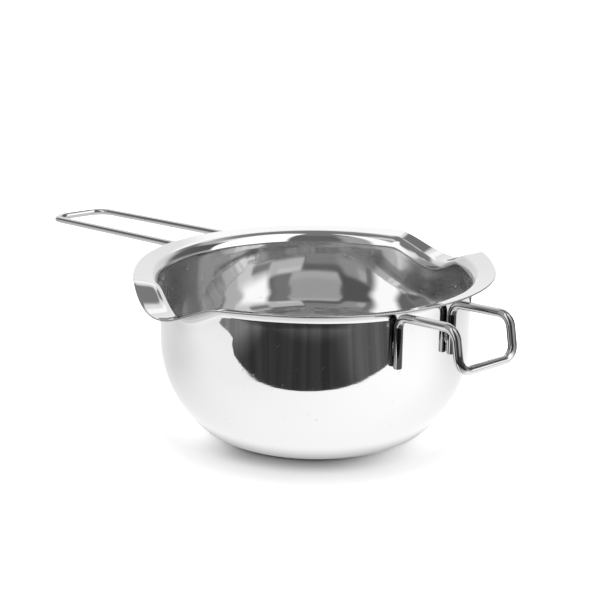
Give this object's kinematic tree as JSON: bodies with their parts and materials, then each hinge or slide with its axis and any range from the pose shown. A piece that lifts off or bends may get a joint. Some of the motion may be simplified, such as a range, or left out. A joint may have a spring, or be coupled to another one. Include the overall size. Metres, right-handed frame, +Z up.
{
  "type": "wax melting pot",
  "caption": "Round drawn steel pot with a flared rim, pouring spouts on opposite sides, a long wire loop handle and a bent wire hook for hanging it on the rim of a saucepan.",
  "frame": {"origin": "middle of the flat base, on the surface that the pot stands on", "axes": "+X along the long handle away from the bowl, -X towards the pan hook, +Z up out of the mouth, spouts towards +Y and -Y"},
  "size_m": [0.2914, 0.149, 0.0634],
  "materials": {
    "mirror_steel": "mirror-polished stainless sheet",
    "wire_steel": "drawn and polished stainless wire"
  },
  "bodies": {
    "root": {"bowl": "mirror_steel", "long_handle": "wire_steel", "pan_hook": "wire_steel"}
  },
  "joints": []
}
